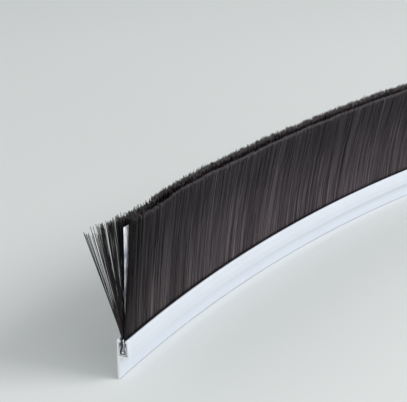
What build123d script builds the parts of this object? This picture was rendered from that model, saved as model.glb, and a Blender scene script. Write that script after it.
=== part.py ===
from build123d import *
from math import cos, degrees, exp, radians, sin
import os

os.makedirs("parts", exist_ok=True)

# A curved brush sweep, standing on the edge of its fixing flange with the bristles up.
# Every long piece follows one arc about a vertical axis. In the sections below, depth is
# measured from the convex face of the carrier towards that axis, and height from the
# flange's edge.

# The arc, along the carrier's convex face
arc_radius = 1200.0
arc_length = 1000.0

# Extruded carrier: a flange below a channel that holds the brush insert
carrier_height = 25.0
flange_height = 13.7
flange_thickness = 1.5
channel_top_width = 6.6
channel_floor_width = 7.6
channel_wall = 1.0
channel_floor = 1.2
mouth_width = 3.0
lip_drop = 2.0
lip_slope = 0.4
corner_radius = 0.25

# Brush insert: a rolled steel channel grips a film and the filaments, which are all folded
# round a core wire
insert_width = 4.8
insert_height = 5.5
insert_gauge = 0.4
insert_mouth = 2.8
insert_shoulder = 3.4
insert_side_gap = 0.1
insert_lift = 0.3
wire_diameter = 1.3
fold_thickness = 0.9
film_fold_thickness = 0.5
neck_width = 2.4
neck_top = 24.8
film_thickness = 0.3

# Bristles: two rows that part from each other, in tufts that bend one by one. The film
# stands between the rows. All three lean towards the arc's axis, and less near the ends.
# These heights are above the carrier's mouth.
tuft_count = 25
root_height = 2.2
tip_height = 72.0
film_top = 66.0
root_inner = 0.5
root_outer = 1.7
tip_inner = 1.5
tip_outer = 4.5
root_half_width = 19.7
tip_half_width = 18.8
end_splay = 12.0
full_lean = 9.0
lean_distance = 180.0

# Values that follow from the ones above
half_angle = arc_length / arc_radius / 2
tuft_angle = 2 * half_angle / tuft_count
centre_depth = channel_wall + insert_side_gap + insert_width / 2
centre_radius = arc_radius - centre_depth
insert_base = flange_height + channel_floor + insert_lift
insert_floor = insert_base + insert_gauge
insert_top = insert_base + insert_height
wire_height = insert_floor + fold_thickness + wire_diameter / 2



def lean_at(number):
    """How far a tuft leans towards the arc's axis, in radians, from its place in the row."""
    from_end = min(number - 0.5, tuft_count + 0.5 - number) * arc_length / tuft_count
    return radians(full_lean) * (1 - exp(-from_end / lean_distance))


# The origin lies under the middle of the whole sweep: half way between the carrier's
# convex face at mid length and the innermost, splayed tips of the two end tufts.
end_tuft_angle = half_angle - tuft_angle / 2
tip_reach = tip_outer * cos(lean_at(1)) + tip_height * sin(lean_at(1))
innermost_tip = (centre_radius - tip_reach) * cos(end_tuft_angle)
innermost_tip -= (tip_half_width + end_splay) * sin(end_tuft_angle)
axis_y = -(arc_radius + innermost_tip) / 2

# Sections are drawn at the -X end of the arc and turned to the +X end.
arc_axis = Axis((0, axis_y, 0), (0, 0, -1))
arc_sweep = degrees(2 * half_angle)
section_plane = Plane(
    origin=(0, axis_y, 0),
    x_dir=(-sin(half_angle), cos(half_angle), 0),
    z_dir=(cos(half_angle), sin(half_angle), 0),
)


def from_face(depth, height):
    """A section point, from its depth behind the carrier's convex face."""
    return (arc_radius - depth, height)


def from_centre(offset, height):
    """A section point, from its offset outwards from the brush's centre line."""
    return (centre_radius + offset, height)


# Carrier: one extrusion, its flange flush with the channel's outer wall
wall_lean = (channel_floor_width - channel_top_width) / (carrier_height - flange_height)
floor_top = flange_height + channel_floor
lip_root = carrier_height - lip_drop + lip_slope
inner_wall_low = channel_floor_width - channel_wall - wall_lean * channel_floor
inner_wall_high = channel_floor_width - channel_wall - wall_lean * (lip_root - flange_height)
lip_tip = carrier_height - lip_drop
outer_lip_depth = centre_depth - mouth_width / 2
inner_lip_depth = centre_depth + mouth_width / 2
with BuildPart() as carrier_profile:
    with BuildSketch(section_plane) as carrier_section:
        with BuildLine():
            Polyline(
                from_face(0, 0),
                from_face(0, carrier_height),
                from_face(channel_wall, carrier_height),
                from_face(outer_lip_depth, lip_tip + lip_slope),
                from_face(outer_lip_depth, lip_tip),
                from_face(channel_wall, lip_root),
                from_face(channel_wall, floor_top),
                from_face(inner_wall_low, floor_top),
                from_face(inner_wall_high, lip_root),
                from_face(inner_lip_depth, lip_tip),
                from_face(inner_lip_depth, lip_tip + lip_slope),
                from_face(channel_top_width - channel_wall, carrier_height),
                from_face(channel_top_width, carrier_height),
                from_face(channel_floor_width, flange_height),
                from_face(flange_thickness, flange_height),
                from_face(flange_thickness, 0),
                close=True,
            )
        make_face()
        outer_corners = carrier_section.vertices().filter_by(
            lambda v: v.Y > carrier_height - 0.1 or 0.1 < v.Y < flange_height + 0.1
        )
        fillet(outer_corners, radius=corner_radius)
    revolve(axis=arc_axis, revolution_arc=arc_sweep)
carrier_profile.part.label = "carrier_profile"
export_step(carrier_profile.part, "parts/carrier_profile.step")

# Steel channel: a rolled strip, its two arms closed in at the top
half_insert = insert_width / 2
half_inside = half_insert - insert_gauge
half_mouth = insert_mouth / 2
shoulder_height = insert_top - insert_shoulder
with BuildPart() as steel_channel:
    with BuildSketch(section_plane):
        with BuildLine():
            Polyline(
                from_centre(-half_insert, insert_base),
                from_centre(-half_insert, shoulder_height),
                from_centre(-half_mouth - insert_gauge, insert_top),
                from_centre(-half_mouth, insert_top),
                from_centre(-half_inside, shoulder_height),
                from_centre(-half_inside, insert_floor),
                from_centre(half_inside, insert_floor),
                from_centre(half_inside, shoulder_height),
                from_centre(half_mouth, insert_top),
                from_centre(half_mouth + insert_gauge, insert_top),
                from_centre(half_insert, shoulder_height),
                from_centre(half_insert, insert_base),
                close=True,
            )
        make_face()
    revolve(axis=arc_axis, revolution_arc=arc_sweep)
steel_channel.part.label = "steel_channel"
export_step(steel_channel.part, "parts/steel_channel.step")

# Core wire, which the filaments are folded round
with BuildPart() as core_wire:
    with BuildSketch(section_plane):
        with Locations(from_centre(0, wire_height)):
            Circle(wire_diameter / 2)
    revolve(axis=arc_axis, revolution_arc=arc_sweep)
core_wire.part.label = "core_wire"
export_step(core_wire.part, "parts/core_wire.step")

# Foot of the film: it's folded round the wire, and its two layers rise between the lips
half_neck = neck_width / 2
film_fold_radius = wire_diameter / 2 + film_fold_thickness
film_rise = neck_top - wire_height
with BuildPart() as film_foot:
    with BuildSketch(section_plane):
        with Locations(from_centre(0, wire_height)):
            Circle(film_fold_radius)
        with Locations(from_centre(0, wire_height + film_rise / 2)):
            Rectangle(film_thickness, film_rise)
        with Locations(from_centre(0, wire_height)):
            Circle(wire_diameter / 2, mode=Mode.SUBTRACT)
    revolve(axis=arc_axis, revolution_arc=arc_sweep)
film_foot.part.label = "film_foot"
export_step(film_foot.part, "parts/film_foot.step")

# Folded filaments inside the channel, round the film, with a neck between the lips
with BuildPart() as filament_fold:
    with BuildSketch(section_plane):
        with BuildLine():
            Polyline(
                from_centre(-half_inside, insert_floor),
                from_centre(-half_inside, shoulder_height),
                from_centre(-half_neck, insert_top),
                from_centre(-half_neck, neck_top),
                from_centre(half_neck, neck_top),
                from_centre(half_neck, insert_top),
                from_centre(half_inside, shoulder_height),
                from_centre(half_inside, insert_floor),
                close=True,
            )
        make_face()
        with Locations(from_centre(0, wire_height)):
            Circle(film_fold_radius, mode=Mode.SUBTRACT)
        with Locations(from_centre(0, wire_height + film_rise / 2)):
            Rectangle(film_thickness, film_rise, mode=Mode.SUBTRACT)
    revolve(axis=arc_axis, revolution_arc=arc_sweep)
filament_fold.part.label = "filament_fold"
export_step(filament_fold.part, "parts/filament_fold.step")

# Bristle tufts and the film between their rows, numbered from the -X end. Both are narrower
# at the top, so that neighbours stay clear of each other when they bend towards the arc's
# axis. The free side of each end tuft splays outwards.
for number in range(1, tuft_count + 1):
    angle = -half_angle + (number - 0.5) * tuft_angle
    lean = lean_at(number)
    tangent = Vector(cos(angle), -sin(angle), 0)
    level = Vector(sin(angle), cos(angle), 0)
    outward = level * cos(lean) + Vector(0, 0, sin(lean))
    pivot = level * centre_radius + Vector(0, axis_y, carrier_height)
    across = Plane(origin=pivot, x_dir=outward, z_dir=tangent)
    along = Plane(origin=pivot, x_dir=tangent, z_dir=-outward)
    left_tip = -tip_half_width - (end_splay if number == 1 else 0)
    right_tip = tip_half_width + (end_splay if number == tuft_count else 0)

    with BuildPart() as bristle_tuft:
        with BuildSketch(across):
            for side in (-1, 1):
                with BuildLine():
                    Polyline(
                        (side * root_inner, root_height),
                        (side * root_outer, root_height),
                        (side * tip_outer, tip_height),
                        (side * tip_inner, tip_height),
                        close=True,
                    )
                make_face()
        extrude(amount=tip_half_width + end_splay, both=True)
        with BuildSketch(along):
            with BuildLine():
                Polyline(
                    (-root_half_width, root_height),
                    (root_half_width, root_height),
                    (right_tip, tip_height),
                    (left_tip, tip_height),
                    close=True,
                )
            make_face()
        extrude(amount=tip_outer + 1, both=True, mode=Mode.INTERSECT)
    bristle_tuft.part.label = f"bristle_tuft_{number:02d}"
    export_step(bristle_tuft.part, f"parts/bristle_tuft_{number:02d}.step")

    with BuildPart() as film_segment:
        with BuildSketch(along):
            with BuildLine():
                Polyline(
                    (-root_half_width, root_height),
                    (root_half_width, root_height),
                    (tip_half_width, film_top),
                    (-tip_half_width, film_top),
                    close=True,
                )
            make_face()
        extrude(amount=film_thickness / 2, both=True)
    film_segment.part.label = f"film_segment_{number:02d}"
    export_step(film_segment.part, f"parts/film_segment_{number:02d}.step")
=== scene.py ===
import bpy
import numpy as np
from math import cos, pi, radians, sin
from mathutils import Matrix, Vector


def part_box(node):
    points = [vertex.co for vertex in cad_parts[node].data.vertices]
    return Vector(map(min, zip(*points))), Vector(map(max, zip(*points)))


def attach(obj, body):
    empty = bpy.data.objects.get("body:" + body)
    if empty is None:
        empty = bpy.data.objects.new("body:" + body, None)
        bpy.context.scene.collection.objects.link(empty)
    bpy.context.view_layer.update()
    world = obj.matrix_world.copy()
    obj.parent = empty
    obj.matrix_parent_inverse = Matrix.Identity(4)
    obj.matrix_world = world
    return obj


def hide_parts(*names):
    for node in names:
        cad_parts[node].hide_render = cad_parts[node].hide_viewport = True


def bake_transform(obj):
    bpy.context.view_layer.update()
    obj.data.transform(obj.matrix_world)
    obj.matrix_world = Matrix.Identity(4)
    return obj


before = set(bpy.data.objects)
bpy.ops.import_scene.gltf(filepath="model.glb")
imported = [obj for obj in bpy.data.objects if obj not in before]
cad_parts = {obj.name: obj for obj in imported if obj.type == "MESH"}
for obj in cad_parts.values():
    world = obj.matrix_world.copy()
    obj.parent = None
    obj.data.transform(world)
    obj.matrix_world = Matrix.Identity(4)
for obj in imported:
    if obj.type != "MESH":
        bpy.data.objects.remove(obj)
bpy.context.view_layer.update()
print("frame loaded")

mm = 0.001

# The sweep follows one arc about a vertical axis. A place on it is a distance along the
# brush's centre line from the -X end, an offset towards the axis, and a height.
sweep = {
    "outerRadius": 1.2,  # of the carrier's convex face
    "length": 1.0,  # along that face
    "brushDepth": 3.5 * mm,  # from that face to the brush's centre line
    "mouthHeight": 25 * mm,  # where the bristles leave the carrier
    "tuftCount": 25,
    "steps": 240,  # faces along a long piece
}
halfAngle = sweep["length"] / sweep["outerRadius"] / 2
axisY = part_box("carrier_profile")[1].y - sweep["outerRadius"]
brushRadius = sweep["outerRadius"] - sweep["brushDepth"]
brushLength = 2 * halfAngle * brushRadius
tuftLength = brushLength / sweep["tuftCount"]


# How the bristles and the film stand above the mouth. A curve above 1 grows towards the tips.
stance = {
    "filamentLength": 72.5 * mm,
    "filmTop": 66 * mm,
    "fullLean": 11.5 * mm,  # of the tips towards the axis, far from the ends
    "leanDistance": 178 * mm,  # how slowly the lean builds up from an end
    "leanCurve": 1.7,
    "swayCurve": 1.15,  # along the arc
    "spreadCurve": 0.95,  # of the rows away from each other
    "footSpread": 0.85,  # share of that spread below the mouth
    "bendStart": 23 * mm,  # heights given for a bend in the tufts
    "bendEnd": 48 * mm,
}


def leanAt(distance):  # how far the tips lean towards the axis at a place along the brush
    fromEnd = np.minimum(distance, brushLength - distance)
    return stance["fullLean"] * (1 - np.exp(-np.maximum(fromEnd, 0) / stance["leanDistance"]))


def placeOnArc(distance, offset, height):  # works on numbers and on arrays
    angle = distance / brushRadius - halfAngle
    radius = brushRadius - offset
    return radius * np.sin(angle), radius * np.cos(angle) + axisY, height


def pointOnArc(distance, offset, height):
    return Vector(placeOnArc(distance, offset, height))


def offsetOf(place):  # towards the axis, from the brush's centre line
    return brushRadius - Vector((place.x, place.y - axisY)).length


# Mesh helpers, and how close things have to be for them
closeness = {
    "near": 0.1 * mm,  # of a vertex that is taken as on an edge or a face
    "onCut": 0.01 * mm,
    "merged": 0.001 * mm,
    "endTurn": 0.0002,  # of a face to an end of the arc, in radians
    "endFacing": 0.9,  # how squarely an end's face looks along the arc
}


def startEdit(piece):  # edit mode with nothing selected
    for other in bpy.context.selected_objects:
        other.select_set(False)
    bpy.context.view_layer.objects.active = piece
    piece.select_set(True)
    bpy.ops.object.mode_set(mode="EDIT")
    bpy.ops.mesh.select_mode(type="VERT")
    bpy.ops.mesh.select_all(action="DESELECT")


def editAll(piece):  # edit mode with the whole mesh selected
    startEdit(piece)
    bpy.ops.mesh.select_all(action="SELECT")


def endEdit():
    bpy.ops.object.mode_set(mode="OBJECT")


def editChosen(piece, chosen):  # edit mode with the vertices whose place is chosen
    startEdit(piece)
    endEdit()
    for vertex in piece.data.vertices:
        vertex.select = chosen(vertex.co)
    bpy.ops.object.mode_set(mode="EDIT")


def selectOnly(*pieces):
    bpy.ops.object.select_all(action="DESELECT")
    for piece in pieces:
        piece.select_set(True)
    bpy.context.view_layer.objects.active = pieces[0]


def applyPlace(piece):
    selectOnly(piece)
    bpy.ops.object.transform_apply(location=True, rotation=True, scale=True)


def facesOut():  # in edit mode
    bpy.ops.mesh.select_all(action="SELECT")
    bpy.ops.mesh.normals_make_consistent(inside=False)


def turnMesh(distance):  # moves what is selected along the arc, towards +X
    turn = distance / brushRadius
    bpy.ops.transform.rotate(value=turn, orient_axis="Z", center_override=(0, axisY, 0))


def drawOutline(name, outline):  # a flat face across the -X end, from (offset, height) corners
    corners = [pointOnArc(0, offset, height) for offset, height in outline]
    bpy.ops.object.select_all(action="DESELECT")
    bpy.ops.mesh.primitive_plane_add(size=mm, location=corners[0])
    piece = bpy.context.object
    piece.name = name
    piece.data.name = name
    editAll(piece)
    bpy.ops.mesh.merge(type="CENTER")
    for here, there in zip(corners, corners[1:]):
        bpy.ops.mesh.extrude_region_move(TRANSFORM_OT_translate={"value": there - here})
    bpy.ops.mesh.select_all(action="SELECT")
    bpy.ops.mesh.edge_face_add()
    endEdit()
    applyPlace(piece)
    return piece


def roundCorners(piece, chosen, radius, segments=3):
    editChosen(piece, chosen)
    bpy.ops.mesh.bevel(affect="VERTICES", offset=radius, segments=segments, profile=0.5)
    endEdit()


def spinAlongArc(piece, inset=0):  # the inset is from each end of the sweep
    editAll(piece)
    if inset:
        turnMesh(inset)
    angle = 2 * halfAngle - 2 * inset / brushRadius
    bpy.ops.mesh.spin(steps=sweep["steps"], angle=angle, center=(0, axisY, 0), axis=(0, 0, 1))
    bpy.ops.mesh.select_all(action="SELECT")
    bpy.ops.mesh.remove_doubles(threshold=closeness["merged"])
    facesOut()
    endEdit()


def finishEdges(piece, width, segments=2, sharp=35):
    selectOnly(piece)
    bevel = piece.modifiers.new("edges", "BEVEL")
    bevel.width = width
    bevel.segments = segments
    bevel.limit_method = "ANGLE"
    bevel.angle_limit = radians(sharp)
    bpy.ops.object.modifier_apply(modifier=bevel.name)
    bpy.ops.object.shade_smooth_by_angle(angle=radians(sharp))


def markPoints(mesh, name, values):  # an attribute that the material reads
    mark = mesh.attributes.new(name, "FLOAT", "POINT")
    mark.data.foreach_set("value", np.asarray(values, np.float32))


# Material helpers


def newMaterial(name):
    material = bpy.data.materials.new(name)
    material.use_nodes = True
    shader = material.node_tree.nodes["Principled BSDF"]
    return material, material.node_tree, shader


def addNode(tree, kind, **settings):
    node = tree.nodes.new(kind)
    for setting, value in settings.items():
        setattr(node, setting, value)
    return node


def setInputs(node, **values):
    for socket, value in values.items():
        node.inputs[socket.replace("_", " ")].default_value = value


def colourRamp(tree, stops):  # stops are (position, colour)
    ramp = addNode(tree, "ShaderNodeValToRGB")
    elements = ramp.color_ramp.elements
    while len(elements) < len(stops):
        elements.new(0.5)
    for element, (position, colour) in zip(elements, stops):
        element.position = position
        element.color = (*colour, 1)
    return ramp


def mathNode(tree, operation, first, second=None, clamp=False):
    node = addNode(tree, "ShaderNodeMath", operation=operation, use_clamp=clamp)
    for socket, value in zip(node.inputs, (first, second)):
        if value is None:
            continue
        if isinstance(value, (int, float)):
            socket.default_value = value
        else:
            tree.links.new(value, socket)
    return node.outputs[0]


def mixColours(tree, factor, first, second):
    mix = addNode(tree, "ShaderNodeMix", data_type="RGBA")
    for index, value in ((0, factor), (6, first), (7, second)):
        if isinstance(value, (int, float)):
            mix.inputs[index].default_value = value
        elif isinstance(value, tuple):
            mix.inputs[index].default_value = (*value, 1)
        else:
            tree.links.new(value, mix.inputs[index])
    return mix.outputs[2]


def multiplyColours(tree, first, second):
    mix = addNode(tree, "ShaderNodeMix", data_type="RGBA", blend_type="MULTIPLY")
    mix.inputs[0].default_value = 1
    tree.links.new(first, mix.inputs[6])
    tree.links.new(second, mix.inputs[7])
    return mix.outputs[2]


def scaledRange(tree, value, low, high, fromLow=0.3, fromHigh=0.7):
    node = addNode(tree, "ShaderNodeMapRange")
    setInputs(node, From_Min=fromLow, From_Max=fromHigh, To_Min=low, To_Max=high)
    tree.links.new(value, node.inputs["Value"])
    return node.outputs["Result"]


def connect(tree, shader, colour, roughness, height=None, bump=None):  # bump is strength and distance
    tree.links.new(colour, shader.inputs["Base Color"])
    tree.links.new(roughness, shader.inputs["Roughness"])
    if bump:
        node = addNode(tree, "ShaderNodeBump")
        setInputs(node, Strength=bump[0], Distance=bump[1])
        tree.links.new(height, node.inputs["Height"])
        tree.links.new(node.outputs[0], shader.inputs["Normal"])


def addSocket(group, name, start=None):  # an input where it has a starting value, or else an output
    way = "OUTPUT" if start is None else "INPUT"
    socket = group.interface.new_socket(name, in_out=way, socket_type="NodeSocketFloat")
    if start is not None:
        socket.default_value = start


def placeGroup(tree, group, **values):
    node = addNode(tree, "ShaderNodeGroup", node_tree=group)
    setInputs(node, **values)
    return node


# Lines that run along the arc, as a die or a roller leaves them, and soft smudges
def makeRunLinesGroup():
    group = bpy.data.node_groups.new("runLines", "ShaderNodeTree")
    addSocket(group, "Across", 900)
    addSocket(group, "Along", 4)
    addSocket(group, "Lines")
    addSocket(group, "Smudges")
    enter = addNode(group, "NodeGroupInput")
    leave = addNode(group, "NodeGroupOutput")
    links = group.links
    coordinates = addNode(group, "ShaderNodeTexCoord")
    centred = addNode(group, "ShaderNodeMapping")
    setInputs(centred, Location=(0, -axisY, 0))
    links.new(coordinates.outputs["Object"], centred.inputs["Vector"])
    parts = addNode(group, "ShaderNodeSeparateXYZ")
    links.new(centred.outputs[0], parts.inputs[0])
    squareX = mathNode(group, "MULTIPLY", parts.outputs["X"], parts.outputs["X"])
    squareY = mathNode(group, "MULTIPLY", parts.outputs["Y"], parts.outputs["Y"])
    radius = mathNode(group, "SQRT", mathNode(group, "ADD", squareX, squareY))
    turn = mathNode(group, "ARCTAN2", parts.outputs["X"], parts.outputs["Y"])
    unrolled = addNode(group, "ShaderNodeCombineXYZ")
    links.new(mathNode(group, "MULTIPLY", radius, enter.outputs["Across"]), unrolled.inputs["X"])
    links.new(mathNode(group, "MULTIPLY", turn, enter.outputs["Along"]), unrolled.inputs["Y"])
    height = mathNode(group, "MULTIPLY", parts.outputs["Z"], enter.outputs["Across"])
    links.new(height, unrolled.inputs["Z"])
    lines = addNode(group, "ShaderNodeTexNoise")
    setInputs(lines, Scale=1.0, Detail=4.0, Roughness=0.6)
    links.new(unrolled.outputs[0], lines.inputs["Vector"])
    links.new(lines.outputs["Fac"], leave.inputs["Lines"])
    smudges = addNode(group, "ShaderNodeTexNoise")
    setInputs(smudges, Scale=55.0, Detail=3.0, Roughness=0.55)
    links.new(centred.outputs[0], smudges.inputs["Vector"])
    links.new(smudges.outputs["Fac"], leave.inputs["Smudges"])
    return group


runLinesGroup = makeRunLinesGroup()


def addRunLines(tree, across, along):
    return placeGroup(tree, runLinesGroup, Across=across, Along=along)


speckShape = {
    "threshold": 0.75,  # noise above this is a speck when the amount is 0
    "reach": 0.3,  # an amount of 1 lowers the threshold by this
    "sharpness": 12.0,
}


# Scattered specks and pits
def makeSpecksGroup():
    group = bpy.data.node_groups.new("specks", "ShaderNodeTree")
    addSocket(group, "Scale", 2000)
    addSocket(group, "Amount", 0.2)
    addSocket(group, "Mask")
    enter = addNode(group, "NodeGroupInput")
    leave = addNode(group, "NodeGroupOutput")
    coordinates = addNode(group, "ShaderNodeTexCoord")
    noise = addNode(group, "ShaderNodeTexNoise")
    setInputs(noise, Detail=2.0, Roughness=0.7)
    group.links.new(coordinates.outputs["Object"], noise.inputs["Vector"])
    group.links.new(enter.outputs["Scale"], noise.inputs["Scale"])
    lowered = mathNode(group, "MULTIPLY", enter.outputs["Amount"], speckShape["reach"])
    threshold = mathNode(group, "SUBTRACT", speckShape["threshold"], lowered)
    above = mathNode(group, "SUBTRACT", noise.outputs["Fac"], threshold)
    mask = mathNode(group, "MULTIPLY", above, speckShape["sharpness"], clamp=True)
    group.links.new(mask, leave.inputs["Mask"])
    return group


specksGroup = makeSpecksGroup()


def addSpecks(tree, scale, amount):
    return placeGroup(tree, specksGroup, Scale=scale, Amount=amount)


print("helpers ready")


# Carrier: an aluminium extrusion with a satin anodised finish
carrier = {
    "height": 25 * mm,
    "flangeHeight": 13.7 * mm,
    "flangeThickness": 1.5 * mm,
    "topWidth": 6.6 * mm,
    "floorWidth": 7.6 * mm,
    "wall": 1.0 * mm,
    "floor": 1.2 * mm,
    "mouthWidth": 3.0 * mm,
    "lipDrop": 2.0 * mm,
    "lipSlope": 0.4 * mm,
    "cornerRadius": 0.25 * mm,
    "restRadius": 0.5 * mm,  # of the inner corner of the edge it stands on
    "edgeWidth": 0.06 * mm,
    "colour": (0.765, 0.80, 0.865),
    "lineColour": (0.71, 0.745, 0.81),
    "lineScale": (2600, 2),  # of the die's lines, across and along them
    "lineContrast": (0.35, 0.65),
    "lineBump": (0.05, 0.01 * mm),
    "contactShadeTint": (0.52, 0.54, 0.58),  # painted contact shadow: the thin darker line where it stands on the floor
    "contactShadeHeights": (0.3 * mm, 0.9 * mm),  # the painted contact shadow fades out between these heights
    "roughness": (0.36, 0.44),
    "metallic": 0.6,
    "sawn": {  # the carrier's cut ends, with the arcs a saw blade leaves
        "colours": ((0.92, 0.915, 0.93), (0.85, 0.85, 0.87)),
        "bladePlace": (0, 0, 0.12),
        "ringScale": 1500.0,
        "bump": (0.12, 0.02 * mm),
        "roughness": (0.35, 0.5),
        "metallic": 0.35,
    },
}


def makeAluminium():
    material, tree, shader = newMaterial("satinAluminium")
    lines = addRunLines(tree, *carrier["lineScale"])
    tone = scaledRange(tree, lines.outputs["Lines"], 0, 1, *carrier["lineContrast"])
    drawn = mixColours(tree, tone, carrier["colour"], carrier["lineColour"])
    coordinates = addNode(tree, "ShaderNodeTexCoord")
    parts = addNode(tree, "ShaderNodeSeparateXYZ")
    tree.links.new(coordinates.outputs["Object"], parts.inputs[0])
    # painted contact shadow: a darker band along the edge it stands on
    unshaded = scaledRange(tree, parts.outputs["Z"], 0, 1, *carrier["contactShadeHeights"])
    contactShade = mixColours(tree, unshaded, carrier["contactShadeTint"], (1, 1, 1))
    colour = multiplyColours(tree, drawn, contactShade)
    roughness = scaledRange(tree, lines.outputs["Smudges"], *carrier["roughness"])
    connect(tree, shader, colour, roughness, lines.outputs["Lines"], carrier["lineBump"])
    setInputs(shader, Metallic=carrier["metallic"])
    return material


def makeSawnAluminium():
    sawn = carrier["sawn"]
    material, tree, shader = newMaterial("sawnAluminium")
    coordinates = addNode(tree, "ShaderNodeTexCoord")
    blade = addNode(tree, "ShaderNodeMapping")
    setInputs(blade, Location=sawn["bladePlace"])
    tree.links.new(coordinates.outputs["Object"], blade.inputs["Vector"])
    arcs = addNode(tree, "ShaderNodeTexWave", wave_type="RINGS", rings_direction="SPHERICAL")
    setInputs(arcs, Scale=sawn["ringScale"], Distortion=1.5, Detail=2.0)
    tree.links.new(blade.outputs[0], arcs.inputs["Vector"])
    rings = arcs.outputs["Fac"]
    colour = mixColours(tree, rings, *sawn["colours"])
    roughness = scaledRange(tree, rings, *sawn["roughness"], 0, 1)
    connect(tree, shader, colour, roughness, rings, sawn["bump"])
    setInputs(shader, Metallic=sawn["metallic"])
    return material


def paintEnds(piece, material):  # gives the faces across the two ends their own material
    piece.data.materials.append(material)
    for polygon in piece.data.polygons:
        centre = polygon.center
        turn = np.arctan2(centre.x, centre.y - axisY)
        along = Vector((cos(turn), -sin(turn), 0))
        atEnd = abs(abs(turn) - halfAngle) < closeness["endTurn"]
        if atEnd and abs(polygon.normal.dot(along)) > closeness["endFacing"]:
            polygon.material_index = len(piece.data.materials) - 1


def makeCarrier():
    near = closeness["near"]
    middle = sweep["brushDepth"]
    slope = (carrier["floorWidth"] - carrier["topWidth"]) / (carrier["height"] - carrier["flangeHeight"])
    floorTop = carrier["flangeHeight"] + carrier["floor"]
    lipTip = carrier["height"] - carrier["lipDrop"]
    lipRoot = lipTip + carrier["lipSlope"]
    innerLow = carrier["floorWidth"] - carrier["wall"] - slope * carrier["floor"]
    innerHigh = carrier["floorWidth"] - carrier["wall"] - slope * (lipRoot - carrier["flangeHeight"])
    outerLip = middle - carrier["mouthWidth"] / 2
    innerLip = middle + carrier["mouthWidth"] / 2
    depths = [
        (0, 0),
        (0, carrier["height"]),
        (carrier["wall"], carrier["height"]),
        (outerLip, lipRoot),
        (outerLip, lipTip),
        (carrier["wall"], lipRoot),
        (carrier["wall"], floorTop),
        (innerLow, floorTop),
        (innerHigh, lipRoot),
        (innerLip, lipTip),
        (innerLip, lipRoot),
        (carrier["topWidth"] - carrier["wall"], carrier["height"]),
        (carrier["topWidth"], carrier["height"]),
        (carrier["floorWidth"], carrier["flangeHeight"]),
        (carrier["flangeThickness"], carrier["flangeHeight"]),
        (carrier["flangeThickness"], 0),
    ]
    piece = drawOutline("carrier", [(depth - middle, height) for depth, height in depths])

    def outside(place):
        nearTop = place.z > carrier["height"] - near
        nearUnderside = near < place.z < carrier["flangeHeight"] + near
        return nearTop or nearUnderside or offsetOf(place) + middle < near

    def rests(place):
        return place.z < near and offsetOf(place) + middle > near

    roundCorners(piece, outside, carrier["cornerRadius"])
    roundCorners(piece, rests, carrier["restRadius"])
    spinAlongArc(piece)
    finishEdges(piece, carrier["edgeWidth"])
    piece.data.materials.append(makeAluminium())
    paintEnds(piece, makeSawnAluminium())
    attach(piece, "carrier")
    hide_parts("carrier_profile")


makeCarrier()
print("carrier made")


# Brush insert: a steel channel and a core wire that the filaments are folded round
insert = {
    "base": 15.35 * mm,  # underside of the channel
    "width": 4.7 * mm,
    "height": 5.5 * mm,
    "gauge": 0.4 * mm,
    "mouth": 2.8 * mm,
    "shoulder": 3.4 * mm,  # height over which the arms close in
    "bendRadius": 0.55 * mm,
    "edgeWidth": 0.05 * mm,
    "wireHeight": 17.15 * mm,
    "wireDiameter": 1.3 * mm,
    "wireSides": 16,
    "wireEdgeWidth": 0.08 * mm,
    "neckWidth": 2.3 * mm,
    "neckTop": 24.6 * mm,
    "zinc": {
        "spangleScale": 900.0,
        "colours": ((0.0, (0.66, 0.67, 0.68)), (0.5, (0.80, 0.81, 0.82)), (1.0, (0.93, 0.94, 0.95))),
        "lineColour": (0.5, 0.52, 0.55),
        "lineScale": (3000, 5),
        "lineShare": 0.35,
        "roughness": (0.28, 0.48),
        "bump": (0.2, 0.05 * mm),
    },
    "sheared": {  # the bright cut ends of the channel and the wire
        "specks": (3500, 0.4),  # their scale and amount
        "colours": ((0.95, 0.95, 0.94), (0.70, 0.71, 0.71)),
        "roughness": (0.35, 0.5),
        "metallic": 0.35,
    },
    "wire": {
        "lineScale": (9000, 8),
        "colours": ((0.62, 0.64, 0.62), (0.44, 0.46, 0.45)),
        "specks": (5000, 0.5),
        "pitColour": (0.25, 0.25, 0.24),
        "pitShare": 0.5,
        "roughness": (0.25, 0.45),
    },
}


def makeZincSteel():
    zinc = insert["zinc"]
    material, tree, shader = newMaterial("zincSteel")
    coordinates = addNode(tree, "ShaderNodeTexCoord")
    spangle = addNode(tree, "ShaderNodeTexVoronoi")
    setInputs(spangle, Scale=zinc["spangleScale"])
    tree.links.new(coordinates.outputs["Object"], spangle.inputs["Vector"])
    ramp = colourRamp(tree, zinc["colours"])
    tree.links.new(spangle.outputs["Distance"], ramp.inputs["Fac"])
    lines = addRunLines(tree, *zinc["lineScale"])
    share = scaledRange(tree, lines.outputs["Lines"], 0, zinc["lineShare"])
    colour = mixColours(tree, share, ramp.outputs["Color"], zinc["lineColour"])
    roughness = scaledRange(tree, lines.outputs["Smudges"], *zinc["roughness"])
    connect(tree, shader, colour, roughness, spangle.outputs["Distance"], zinc["bump"])
    setInputs(shader, Metallic=1.0)
    return material


def makeShearedSteel(name):
    sheared = insert["sheared"]
    material, tree, shader = newMaterial(name)
    mask = addSpecks(tree, *sheared["specks"]).outputs["Mask"]
    colour = mixColours(tree, mask, *sheared["colours"])
    connect(tree, shader, colour, scaledRange(tree, mask, *sheared["roughness"], 0, 1))
    setInputs(shader, Metallic=sheared["metallic"])
    return material


def makeDrawnWire():
    wire = insert["wire"]
    material, tree, shader = newMaterial("drawnWire")
    lines = addRunLines(tree, *wire["lineScale"]).outputs["Lines"]
    specks = addSpecks(tree, *wire["specks"]).outputs["Mask"]
    drawn = mixColours(tree, scaledRange(tree, lines, 0, 1), *wire["colours"])
    pits = mathNode(tree, "MULTIPLY", specks, wire["pitShare"])
    colour = mixColours(tree, pits, drawn, wire["pitColour"])
    connect(tree, shader, colour, scaledRange(tree, lines, *wire["roughness"]))
    setInputs(shader, Metallic=1.0)
    return material


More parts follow.
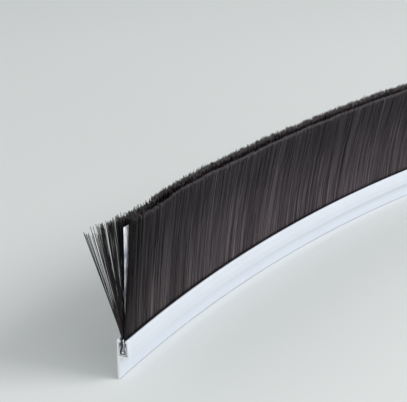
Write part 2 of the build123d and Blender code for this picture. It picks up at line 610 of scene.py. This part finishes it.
def makeSteelChannel():
    half = insert["width"] / 2
    inside = half - insert["gauge"]
    mouth = insert["mouth"] / 2
    base = insert["base"]
    floor = base + insert["gauge"]
    top = base + insert["height"]
    shoulder = top - insert["shoulder"]
    outline = [
        (half, base),
        (half, shoulder),
        (mouth + insert["gauge"], top),
        (mouth, top),
        (inside, shoulder),
        (inside, floor),
    ]
    outline += [(-offset, height) for offset, height in reversed(outline)]
    piece = drawOutline("steelChannel", outline)
    roundCorners(piece, lambda place: place.z < base + closeness["near"], insert["bendRadius"], 4)
    spinAlongArc(piece)
    finishEdges(piece, insert["edgeWidth"])
    piece.data.materials.append(makeZincSteel())
    paintEnds(piece, makeShearedSteel("shearedSteel"))
    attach(piece, "brush_insert")
    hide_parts("steel_channel")


def makeCoreWire():
    radius = insert["wireDiameter"] / 2
    middle = insert["wireHeight"]
    sides = insert["wireSides"]
    turns = [pi * 2 * index / sides for index in range(sides)]
    outline = [(radius * cos(turn), middle + radius * sin(turn)) for turn in turns]
    piece = drawOutline("coreWire", outline)
    spinAlongArc(piece)
    finishEdges(piece, insert["wireEdgeWidth"])
    piece.data.materials.append(makeDrawnWire())
    paintEnds(piece, makeShearedSteel("clippedWire"))
    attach(piece, "brush_insert")
    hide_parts("core_wire")


makeSteelChannel()
makeCoreWire()
print("steel channel and core wire made")


# Bristles: two rows of dark filaments. Where a value is given by row, 1 is the row nearer
# the arc's axis and -1 is the other.
bristle = {
    "diameter": 0.34 * mm,
    "sides": 3,
    "perMillimetre": 15,  # in each row
    "rings": (-2.5, 0, 5, 10, 16, 23, 44),  # heights from the mouth in mm, closer together low down
    "firstRoot": 1.5 * mm,  # from each end of the sweep
    "rowInner": 0.3 * mm,  # of a row's roots, from the centre line
    "rowOuter": 1.3 * mm,
    "tipOffset": {1: 4.0 * mm, -1: 3.7 * mm},
    "leastOffset": 0.8 * mm,  # of any tip
    "tipScatter": {1: 0.26 * mm, -1: 0.9 * mm},
    "tipSpread": {1: 0.5 * mm, -1: 0.9 * mm},  # the same along the arc
    "ragged": {1: 0.42 * mm, -1: 0.75 * mm},  # scatter of the tips' heights
    "clumpRagged": 0.3,  # share of that for whole clumps
    "shortShare": 0.03,  # share of the filaments that are short
    "shortBy": (1 * mm, 4 * mm),
    "seed": 11,
    "clumps": {
        "width": 1.1 * mm,
        "jitter": 0.28,  # of the clumps' middles, as a share of the width
        "stray": 0.25,  # of the filaments between clumps, as a share of the width
        "pull": {1: 0.22, -1: 0.08},  # share of the way a tip moves to the middle of its clump
        "pullRange": (0.6, 1.1),
        "sway": {1: 0.45 * mm, -1: 0.15 * mm},
        "waveLength": 7 * mm,  # of the slow sway that neighbouring clumps share
        "waveSway": 0.9 * mm,
        "waveDepth": 0.3 * mm,
        "depthStretch": 1.7,  # the wave across the rows is longer by this
    },
    "ends": {  # how the rows change near the ends of the sweep
        "closeLength": 24 * mm,  # over this length the rows' tips close up
        "closeDepth": 1.3 * mm,
        "closeScatter": 2.2,  # their scatter grows there by this share
        "darkLength": 75 * mm,  # painted shade at the ends thins out over this length
        "darkShare": 0.42,
        "lowLength": 44 * mm,  # the tips stand lower up to this distance from the ends
        "lowDepth": {1: 3.2 * mm, -1: 4.0 * mm},
        "lowJitter": 2 * mm,
        "lowDepthJitter": 0.5 * mm,
        "lowBlend": 6 * mm,
    },
    "fan": {  # the filaments that fan out from the back row at each end
        "reach": 13 * mm,
        "along": 10 * mm,
        "outward": 11.0 * mm,
        "alongCurve": 1.1,
        "places": (0, 0.1, 0.45, 1),  # from the end to the reach
        "shares": (1, 0.68, 0.3, 0),  # how far a filament splays at those places
        "scatter": 0.02,
        "strands": 7,  # the outermost filaments stand in so many separate strands
        "strandShares": (0.62, 1),
        "strandScatter": 0.015,
        "strandReach": 1.2 * mm,
        "strandWidth": 0.15 * mm,
        "strandShort": (0, 0, 0.5, 1, 3.5),  # in mm
        "looseWidth": 0.8 * mm,
        "leaveRow": 6,  # how fast the splay takes over from a filament's sway
        # painted shade on the fanned filaments, growing with how far they splay
        "shade": 0.35,
        "frontLength": 5 * mm,  # the front row leans away from its end over this length
        "frontAlong": 8 * mm,
        "frontOffset": 0.5 * mm,
        # painted shade on the front row near its end
        "frontShade": 0.8,
        "frontShadeLength": 7 * mm,
    },
    "look": {
        "colours": (
            (0.0, (0.011, 0.0092, 0.0106)),
            (0.5, (0.046, 0.0395, 0.0435)),
            (1.0, (0.148, 0.129, 0.137)),
        ),
        "toneShape": (1.9, 2.4),  # of the beta distribution that the tones are drawn from
        "clumpTone": 0.13,
        "waveTone": 0.07,
        "evenness": 0.4,  # share of the difference in tone that's lost away from the ends
        "evenLength": 90 * mm,
        "footPaintedLight": (1.40, 1.32, 1.33),  # painted bounce light makes the filaments lighter and warmer at the foot, and painted shade darkens them at the head
        "headPaintedShade": (0.60, 0.58, 0.65),
        "paintedLightRange": (0.05, 0.8),  # share of the length over which one turns into the other
        "rootPaintedShade": (0.16, 0.16, 0.20),  # and painted shade makes them nearly black where they leave the carrier
        "rootRange": (0.004, 0.03),
        "tipColour": (0.155, 0.13, 0.13),
        "tipLength": 1.4 * mm,
        "tipTone": {1: 0.5, -1: 0.75},
        "tipToneRange": (0.3, 1.1),
        "roughness": (0.34, 0.5),
        "specular": 0.3,
    },
}


def makeBristleMaterial():
    material, tree, shader = newMaterial("darkFilament")
    look = bristle["look"]
    strand = addNode(tree, "ShaderNodeAttribute", attribute_name="strand").outputs["Fac"]
    along = addNode(tree, "ShaderNodeAttribute", attribute_name="along").outputs["Fac"]
    tipTone = addNode(tree, "ShaderNodeAttribute", attribute_name="tipTone").outputs["Fac"]
    shade = addNode(tree, "ShaderNodeAttribute", attribute_name="shade").outputs["Color"]
    ramp = colourRamp(tree, look["colours"])
    tree.links.new(strand, ramp.inputs["Fac"])
    # painted bounce light at the foot, turning into painted shade at the head
    rise = scaledRange(tree, along, 0, 1, *look["paintedLightRange"])
    paintedLight = mixColours(tree, rise, look["footPaintedLight"], look["headPaintedShade"])
    paintedColour = multiplyColours(tree, ramp.outputs["Color"], paintedLight)
    # painted shade, nearly black, where the filaments leave the carrier
    foot = scaledRange(tree, along, 0, 1, *look["rootRange"])
    paintedColour = multiplyColours(tree, paintedColour, mixColours(tree, foot, look["rootPaintedShade"], (1, 1, 1)))
    tipStart = 1 - look["tipLength"] / stance["filamentLength"]
    cutTip = mathNode(tree, "MULTIPLY", scaledRange(tree, along, 0, 1, tipStart, 1.0), tipTone)
    tipped = mixColours(tree, cutTip, paintedColour, look["tipColour"])
    # the shade attribute is painted shade, at the ends, on the front row's end and in the fans
    colour = multiplyColours(tree, tipped, shade)
    connect(tree, shader, colour, scaledRange(tree, strand, *look["roughness"], 0, 1))
    setInputs(shader, Specular_IOR_Level=look["specular"])
    return material


bristleMaterial = makeBristleMaterial()


def makeFilament():  # one straight filament at the origin, its mouth end at height 0
    length = stance["filamentLength"]
    rings = [height * mm for height in bristle["rings"]]
    rings += [length - bristle["look"]["tipLength"], length]
    radius = bristle["diameter"] / 2
    bpy.ops.object.select_all(action="DESELECT")
    bpy.ops.mesh.primitive_circle_add(vertices=bristle["sides"], radius=radius, location=(0, 0, rings[0]))
    piece = bpy.context.object
    piece.name = "filament"
    editAll(piece)
    for here, there in zip(rings, rings[1:]):
        bpy.ops.mesh.extrude_region_move(TRANSFORM_OT_translate={"value": (0, 0, there - here)})
    bpy.ops.mesh.edge_face_add()
    facesOut()
    endEdit()
    applyPlace(piece)
    return piece


def clumpOf(roots, random):  # each root's clump number, and the clumps' middles
    clumps = bristle["clumps"]
    width = clumps["width"]
    count = int(brushLength / width) + 1
    middles = (np.arange(count) + 0.5) * width + random.normal(0, clumps["jitter"] * width, count)
    middles.sort()
    strayed = roots + random.normal(0, clumps["stray"] * width, len(roots))
    nearest = np.clip(np.searchsorted(middles, strayed), 0, count - 1)
    return nearest, middles


def slowWave(places, length, random):  # smooth random values, about one swing per length
    count = int(brushLength / length) + 3
    values = random.normal(0, 1, count)
    step = places / length
    index = step.astype(int)
    share = step - index
    share = share * share * (3 - 2 * share)
    return values[index] * (1 - share) + values[index + 1] * share


def fadeOut(distance, length, power=2):  # 1 at no distance, falling to 0 over the length
    return np.exp(-((distance / length) ** power))


def layRow(side, random):
    look = bristle["look"]
    clumps = bristle["clumps"]
    ends = bristle["ends"]
    wave = clumps["waveLength"]
    count = int(brushLength / mm * bristle["perMillimetre"])
    root = np.sort(random.uniform(bristle["firstRoot"], brushLength - bristle["firstRoot"], count))
    fromEnd = np.minimum(root, brushLength - root)
    clump, middles = clumpOf(root, random)

    def perClump(scatter):
        return random.normal(0, scatter, len(middles))[clump]

    row = {
        "root": root,
        "rootOffset": side * random.uniform(bristle["rowInner"], bristle["rowOuter"], count),
        "turn": random.uniform(0, 2 * pi, count),
    }
    broadTone = look["waveTone"] * slowWave(root, wave, random)
    clumpTone = perClump(look["clumpTone"])
    even = look["evenness"] * (1 - fadeOut(fromEnd, look["evenLength"]))
    tone = random.beta(*look["toneShape"], count) + clumpTone + broadTone
    row["strand"] = np.clip(tone * (1 - even) + 0.5 * even, 0, 1)
    # painted shade: the filaments are darker towards the ends of the sweep
    row["shade"] = 1 - ends["darkShare"] * fadeOut(fromEnd, ends["darkLength"])
    row["tipTone"] = look["tipTone"][side] * random.uniform(*look["tipToneRange"], count)
    pull = clumps["pull"][side] * random.uniform(*clumps["pullRange"], count)
    sway = perClump(clumps["sway"][side])
    sway += clumps["waveSway"] * slowWave(root, wave, random)
    sway += random.normal(0, bristle["tipSpread"][side], count)
    row["tipAlong"] = pull * (middles[clump] - root) + sway
    depth = clumps["waveDepth"] * slowWave(root, wave * clumps["depthStretch"], random)
    depth += random.normal(0, bristle["tipScatter"][side], count)
    close = fadeOut(fromEnd, ends["closeLength"])
    depth *= 1 + ends["closeScatter"] * close
    offset = bristle["tipOffset"][side] + depth - ends["closeDepth"] * close
    row["tipOffset"] = side * np.maximum(offset, bristle["leastOffset"])
    ragged = bristle["ragged"][side]
    clumpTop = perClump(bristle["clumpRagged"] * ragged)
    tall = stance["filamentLength"] + random.normal(0, ragged, count) + clumpTop
    edge = ends["lowLength"] + perClump(ends["lowJitter"])
    lower = ends["lowDepth"][side] + perClump(ends["lowDepthJitter"])
    tall -= lower / (1 + np.exp((fromEnd - edge) / ends["lowBlend"]))
    short = random.random(count) < bristle["shortShare"]
    row["length"] = tall - short * random.uniform(*bristle["shortBy"], count)
    for direction in (1, -1):
        if side == 1:
            closeFront(row, direction)
        else:
            fanBack(row, direction, random)
    return row


def fromEndOf(row, direction):  # direction is 1 for the -X end and -1 for the other
    distance = row["root"] if direction == 1 else brushLength - row["root"]
    return distance - bristle["firstRoot"]


def closeFront(row, direction):  # the front row leans away from its end, and painted shade darkens it there
    fan = bristle["fan"]
    fromEnd = fromEndOf(row, direction)
    near = np.exp(-fromEnd / fan["frontLength"])
    row["tipAlong"] = row["tipAlong"] + direction * fan["frontAlong"] * near
    row["tipOffset"] = row["tipOffset"] - fan["frontOffset"] * near
    row["shade"] = row["shade"] * (1 - fan["frontShade"] * fadeOut(fromEnd, fan["frontShadeLength"], 3))


def fanBack(row, direction, random):
    fan = bristle["fan"]
    fromEnd = fromEndOf(row, direction)
    fanned = np.flatnonzero(fromEnd < fan["reach"])
    count = len(fanned)
    share = np.interp(fromEnd[fanned] / fan["reach"], fan["places"], fan["shares"])
    share = share + random.normal(0, fan["scatter"], count)
    strands = fan["strands"]
    strandShares = np.linspace(*fan["strandShares"], strands)
    strandShares = strandShares + random.normal(0, fan["strandScatter"], strands)
    loose = share < strandShares[0]
    chosen = np.clip(np.searchsorted(strandShares, share), 0, strands - 1)
    share = np.where(loose, np.maximum(share, 0), strandShares[chosen])
    width = np.where(loose, fan["looseWidth"], fan["strandWidth"])
    reach = random.normal(0, fan["strandReach"], strands)[chosen] * ~loose
    along = fan["along"] * share ** fan["alongCurve"] + reach
    shorter = random.choice(fan["strandShort"], strands)[chosen] * mm * ~loose
    inRow = 1 - np.clip(share * fan["leaveRow"], 0, 1)
    splay = along + random.normal(0, width)
    row["tipAlong"][fanned] = row["tipAlong"][fanned] * inRow - direction * splay
    row["tipOffset"][fanned] -= fan["outward"] * share + random.normal(0, width)
    row["length"][fanned] -= shorter
    # painted shade on the fanned filaments
    row["shade"][fanned] *= 1 - fan["shade"] * share


def layAllFilaments():
    random = np.random.default_rng(bristle["seed"])
    rows = [layRow(side, random) for side in (1, -1)]
    return {key: np.concatenate([row[key] for row in rows]) for key in rows[0]}


def copyFilaments(name, template, laid):  # one mesh of many filaments, each bent along its own path
    shape = np.array([vertex.co for vertex in template.data.vertices])
    faces = [list(polygon.vertices) for polygon in template.data.polygons]
    share = shape[:, 2] / stance["filamentLength"]
    up = np.maximum(share, 0)
    count = len(laid["root"])
    column = {key: value[:, None] for key, value in laid.items()}
    turnCos = np.cos(column["turn"])
    turnSin = np.sin(column["turn"])
    ringAlong = shape[None, :, 0] * turnCos - shape[None, :, 1] * turnSin
    ringOffset = shape[None, :, 0] * turnSin + shape[None, :, 1] * turnCos
    along = column["root"] + column["tipAlong"] * up ** stance["swayCurve"]
    spread = column["rootOffset"] * np.where(share < 0, stance["footSpread"], 1)
    widening = column["tipOffset"] - column["rootOffset"]
    spread = spread + widening * up ** stance["spreadCurve"]
    fullLean = leanAt(column["root"])
    lean = fullLean * up ** stance["leanCurve"]
    reach = column["tipAlong"] ** 2 + (column["tipOffset"] + fullLean) ** 2
    tall = np.sqrt(column["length"] ** 2 - reach)
    height = sweep["mouthHeight"] + np.where(share < 0, shape[:, 2], tall * share)
    x, y, z = placeOnArc(along + ringAlong, spread + lean + ringOffset, height)
    points = np.stack([x, y, np.broadcast_to(z, x.shape)], -1).reshape(-1, 3)
    size = len(shape)
    allFaces = [[corner + size * index for corner in face] for index in range(count) for face in faces]
    mesh = bpy.data.meshes.new(name)
    mesh.from_pydata(points.tolist(), [], allFaces)
    mesh.shade_smooth()
    for key in ("strand", "shade", "tipTone"):
        markPoints(mesh, key, np.repeat(laid[key], size))
    markPoints(mesh, "along", np.tile(up, count))
    piece = bpy.data.objects.new(name, mesh)
    bpy.context.scene.collection.objects.link(piece)
    return piece


def tuftBlend(piece):  # bakes the piece's place into its mesh
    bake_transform(piece)


def makeBristles():
    template = makeFilament()
    laid = layAllFilaments()
    owner = np.clip((laid["root"] / tuftLength).astype(int) + 1, 1, sweep["tuftCount"])
    for number in range(1, sweep["tuftCount"] + 1):
        mine = owner == number
        name = f"bristles.{number:02d}"
        piece = copyFilaments(name, template, {key: value[mine] for key, value in laid.items()})
        piece.data.materials.append(bristleMaterial)
        tuftBlend(piece)
        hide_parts(f"bristle_tuft_{number:02d}")
    bpy.data.objects.remove(template)
    print(f"{len(owner)} filaments laid in {sweep['tuftCount']} tufts")


makeBristles()


# Folded filaments inside the channel: a packed core, with single loops showing at each end
fold = {
    "clearance": 0.05 * mm,
    "cornerRadius": 0.5 * mm,
    "edgeWidth": 0.15 * mm,
    "coreInset": 5.4 * mm,  # of the core behind the loops, from each end
    "loopRadii": (1.4 * mm, 1.75 * mm),
    "loopPlaces": (3.8 * mm, 4.2 * mm, 4.6 * mm, 5.0 * mm),  # from each end
    "loopSegments": 16,
    "strandSides": 6,
    "legOffset": 0.95 * mm,  # of a loop's legs in the neck
    "legBend": 0.4 * mm,  # below the channel's top
    "legTop": 0.8 * mm,  # above the neck's top
    "tones": (0.2, 0.6),
    "seed": 3,
}


def makeFoldCore():
    inside = insert["width"] / 2 - insert["gauge"] - fold["clearance"]
    bottom = insert["base"] + insert["gauge"] + fold["clearance"]
    top = insert["base"] + insert["height"]
    shoulder = top - insert["shoulder"]
    neck = insert["neckWidth"] / 2
    outline = [(inside, bottom), (inside, shoulder), (neck, top), (neck, insert["neckTop"])]
    outline += [(-offset, height) for offset, height in reversed(outline)]
    piece = drawOutline("filamentFold", outline)
    roundCorners(piece, lambda place: place.z < shoulder + closeness["near"], fold["cornerRadius"])
    spinAlongArc(piece, fold["coreInset"])
    finishEdges(piece, fold["edgeWidth"])
    return piece


def makeLoop(radius):  # one filament folded in a U, at the -X end, its legs in the neck
    middle = pointOnArc(0, 0, insert["wireHeight"])
    bend = insert["base"] + insert["height"] - fold["legBend"]
    rise = (0, 0, insert["neckTop"] + fold["legTop"] - bend)
    bpy.ops.object.select_all(action="DESELECT")
    bpy.ops.mesh.primitive_torus_add(
        major_radius=radius,
        minor_radius=bristle["diameter"] / 2,
        major_segments=fold["loopSegments"],
        minor_segments=fold["strandSides"],
        rotation=(pi / 2, 0, -(pi / 2 - halfAngle)),
        location=middle,
    )
    piece = bpy.context.object
    piece.name = "foldLoop"
    applyPlace(piece)
    editAll(piece)
    bpy.ops.mesh.bisect(plane_co=middle, plane_no=(0, 0, 1), clear_outer=True)
    endEdit()
    for side in (-1, 1):

        def endOfLeg(place):
            return abs(place.z - middle.z) < closeness["onCut"] and offsetOf(place) * side > 0

        editChosen(piece, endOfLeg)
        squeeze = pointOnArc(0, side * fold["legOffset"], bend) - pointOnArc(0, side * radius, middle.z)
        bpy.ops.mesh.extrude_region_move(TRANSFORM_OT_translate={"value": squeeze})
        bpy.ops.mesh.extrude_region_move(TRANSFORM_OT_translate={"value": rise})
        bpy.ops.mesh.edge_face_add()
        endEdit()
    selectOnly(piece)
    bpy.ops.object.shade_smooth_by_angle(angle=radians(60))
    return piece


def copyAlong(template, distance):  # a copy with its own mesh, moved along the arc
    piece = template.copy()
    piece.data = template.data.copy()
    bpy.context.scene.collection.objects.link(piece)
    editAll(piece)
    turnMesh(distance)
    endEdit()
    return piece


def makeFold():
    core = makeFoldCore()
    parts = [core]
    for radius in fold["loopRadii"]:
        loop = makeLoop(radius)
        for place in fold["loopPlaces"]:
            parts.append(copyAlong(loop, place))
            parts.append(copyAlong(loop, brushLength - place))
        bpy.data.objects.remove(loop)
    selectOnly(*parts)
    bpy.ops.object.join()
    core.data.materials.append(bristleMaterial)
    count = len(core.data.vertices)
    random = np.random.default_rng(fold["seed"])
    # No along attribute is set, so it reads 0 and the whole fold takes the painted root shade, nearly
    # black.
    markPoints(core.data, "strand", random.uniform(*fold["tones"], count))
    markPoints(core.data, "shade", np.ones(count))
    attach(core, "brush_insert")
    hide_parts("filament_fold")


makeFold()
print("folded filaments made")


# Film between the rows: a foot folded round the core wire, and a thin upright sheet
film = {
    "thickness": 0.15 * mm,
    "foot": 24.0 * mm,  # height of the sheet's lower edge, inside the foot's web
    "endGap": 4 * mm,  # from the sweep's end to the sheet's edge
    "columns": 10,
    "rows": 12,
    "ripple": 0.25 * mm,
    "rippleAlong": 190,  # how fast it goes, in radians for each metre
    "rippleUp": 90,
    "footRadius": 1.15 * mm,  # of the fold round the core wire
    "footInset": 0.7 * mm,  # from each end of the sweep
    "footOverlap": 0.2,  # by which the fold goes past half a turn, in radians
    "footSteps": 19,
    "footSlit": 0.02 * mm,  # between its two layers, and round the wire
    "slitTurn": 0.03,  # half of the slit's width at the wire, in radians
    "slitSteps": 25,
    "webWidth": 0.55 * mm,
    "webLean": 0.4 * mm,  # of the web's lower end towards the arc's axis
    "webTop": 24.6 * mm,
    "edgeWidth": 0.04 * mm,
    "colour": (0.95, 0.955, 0.965),
    "patchColour": (0.33, 0.36, 0.47),
    "patchRange": (0.46, 0.58),
    "streakScale": (130, 620),  # how fast they change upwards and along the arc
    "streaks": 0.8,  # share of streaks in the patches
    "roughness": (0.12, 0.3),
    "bump": (0.3, 0.5 * mm),
}


def makeFilmMaterial():
    material, tree, shader = newMaterial("milkyFilm")
    lines = addRunLines(tree, *film["streakScale"])
    streaks = mathNode(tree, "MULTIPLY", lines.outputs["Lines"], film["streaks"])
    smudges = mathNode(tree, "MULTIPLY", lines.outputs["Smudges"], 1 - film["streaks"])
    patch = scaledRange(tree, mathNode(tree, "ADD", streaks, smudges), 0, 1, *film["patchRange"])
    colour = mixColours(tree, patch, film["colour"], film["patchColour"])
    roughness = scaledRange(tree, lines.outputs["Lines"], *film["roughness"])
    connect(tree, shader, colour, roughness, lines.outputs["Smudges"], film["bump"])
    setInputs(shader, IOR=1.5, Transmission_Weight=0.15)
    return material


filmMaterial = makeFilmMaterial()


def makeFilmFoot():  # its two layers rise together through the neck
    slit = film["footSlit"]
    inner = insert["wireDiameter"] / 2 + slit
    outer = film["footRadius"]
    web = film["webWidth"] / 2
    waist = insert["base"] + insert["height"]
    top = film["webTop"]
    low = film["webLean"]
    middle = insert["wireHeight"]

    def ring(radius, turns):
        return [(radius * cos(turn), middle + radius * sin(turn)) for turn in turns]

    over = film["footOverlap"]
    gap = film["slitTurn"]
    outline = [(web, top), (low + web, waist)]
    outline += ring(outer, np.linspace(over, -pi - over, film["footSteps"]))
    outline += [(low - web, waist), (-web, top), (-slit, top), (low - slit, waist)]
    outline += ring(inner, np.linspace(pi / 2 + gap - 2 * pi, pi / 2 - gap, film["slitSteps"]))
    outline += [(low + slit, waist), (slit, top)]
    piece = drawOutline("filmFoot", outline)
    spinAlongArc(piece, film["footInset"])
    finishEdges(piece, film["edgeWidth"], sharp=50)
    piece.data.materials.append(filmMaterial)
    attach(piece, "brush_insert")
    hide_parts("film_foot")


makeFilmFoot()


def makeFilmPiece(number):
    start = max((number - 1) * tuftLength, film["endGap"])
    end = min(number * tuftLength, brushLength - film["endGap"])
    top = sweep["mouthHeight"] + stance["filmTop"]
    bpy.ops.object.select_all(action="DESELECT")
    bpy.ops.mesh.primitive_grid_add(x_subdivisions=film["columns"], y_subdivisions=film["rows"], size=1)
    piece = bpy.context.object
    piece.name = f"film.{number:02d}"
    piece.data.name = piece.name
    for vertex in piece.data.vertices:
        distance = start + (vertex.co.x + 0.5) * (end - start)
        height = film["foot"] + (vertex.co.y + 0.5) * (top - film["foot"])
        share = max(height - sweep["mouthHeight"], 0) / stance["filamentLength"]
        offset = leanAt(distance) * share ** stance["leanCurve"]
        wave = sin(distance * film["rippleAlong"]) * cos(height * film["rippleUp"])
        vertex.co = pointOnArc(distance, offset + film["ripple"] * share * wave, height)
    selectOnly(piece)
    solid = piece.modifiers.new("thickness", "SOLIDIFY")
    solid.thickness = film["thickness"]
    solid.offset = 0
    bpy.ops.object.modifier_apply(modifier=solid.name)
    editAll(piece)
    facesOut()
    endEdit()
    bpy.ops.object.shade_smooth_by_angle(angle=radians(40))
    piece.data.materials.append(filmMaterial)
    tuftBlend(piece)
    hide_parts(f"film_segment_{number:02d}")


for tuftNumber in range(1, sweep["tuftCount"] + 1):
    makeFilmPiece(tuftNumber)
print("film made")


# Studio: a pale floor, two soft lights and a pale surround
studio = {
    "floorSize": 14,
    "floorColours": ((0.638, 0.66, 0.652), (0.688, 0.71, 0.702)),
    "floorPatches": 1.2,
    "floorRoughness": 0.6,
    "worldColour": (0.88, 0.90, 0.91),
    "worldStrength": 0.74,
    "keyPower": 33.0,
    "keySize": (1.4, 0.9),
    "keyPlace": (0.75, -1.35, 1.35),
    "frontPower": 6.0,
    "frontSize": (1.2, 0.5),
    "frontPlace": (-0.5, -1.6, 0.35),
    "lightTarget": (-0.3, -0.03, 0.05),
}


def makeFloor():
    bpy.ops.object.select_all(action="DESELECT")
    bpy.ops.mesh.primitive_plane_add(size=studio["floorSize"])
    floor = bpy.context.object
    floor.name = "floor"
    material, tree, shader = newMaterial("paleFloor")
    coordinates = addNode(tree, "ShaderNodeTexCoord")
    noise = addNode(tree, "ShaderNodeTexNoise")
    setInputs(noise, Scale=studio["floorPatches"], Detail=2.0)
    tree.links.new(coordinates.outputs["Object"], noise.inputs["Vector"])
    tone = mixColours(tree, noise.outputs["Fac"], *studio["floorColours"])
    tree.links.new(tone, shader.inputs["Base Color"])
    setInputs(shader, Roughness=studio["floorRoughness"])
    floor.data.materials.append(material)


def pointAt(name, data, place, direction):  # a light or a camera that looks in a direction
    holder = bpy.data.objects.new(name, data)
    holder.location = place
    holder.rotation_euler = direction.to_track_quat("-Z", "Y").to_euler()
    bpy.context.scene.collection.objects.link(holder)
    return holder


def makeLight(name, place, size, power):
    lamp = bpy.data.lights.new(name, "AREA")
    lamp.shape = "RECTANGLE"
    lamp.size, lamp.size_y = size
    lamp.energy = power
    pointAt(name, lamp, place, Vector(studio["lightTarget"]) - Vector(place))


def makeWorld():
    world = bpy.data.worlds.new("studioAir")
    world.use_nodes = True
    background = world.node_tree.nodes["Background"]
    setInputs(background, Color=(*studio["worldColour"], 1), Strength=studio["worldStrength"])
    bpy.context.scene.world = world


camera = {
    "lens": 110.83,  # in mm, for a sensor 36 mm wide
    "sensor": 36,
    "nearest": 0.05,
    "farthest": 50,
    "place": (-0.87602, -0.55306, 0.33090),
    "heading": 48.095,  # degrees from +X towards +Y
    "pitch": -19.304,
}


def makeCamera():
    data = bpy.data.cameras.new("camera")
    data.lens = camera["lens"]
    data.sensor_width = camera["sensor"]
    data.clip_start = camera["nearest"]
    data.clip_end = camera["farthest"]
    heading = radians(camera["heading"])
    pitch = radians(camera["pitch"])
    ahead = Vector((cos(heading) * cos(pitch), sin(heading) * cos(pitch), sin(pitch)))
    bpy.context.scene.camera = pointAt("camera", data, camera["place"], ahead)


makeFloor()
makeWorld()
makeLight("keyLight", studio["keyPlace"], studio["keySize"], studio["keyPower"])
makeLight("frontLight", studio["frontPlace"], studio["frontSize"], studio["frontPower"])
makeCamera()
bpy.context.scene.view_settings.view_transform = "Standard"
print("studio ready")
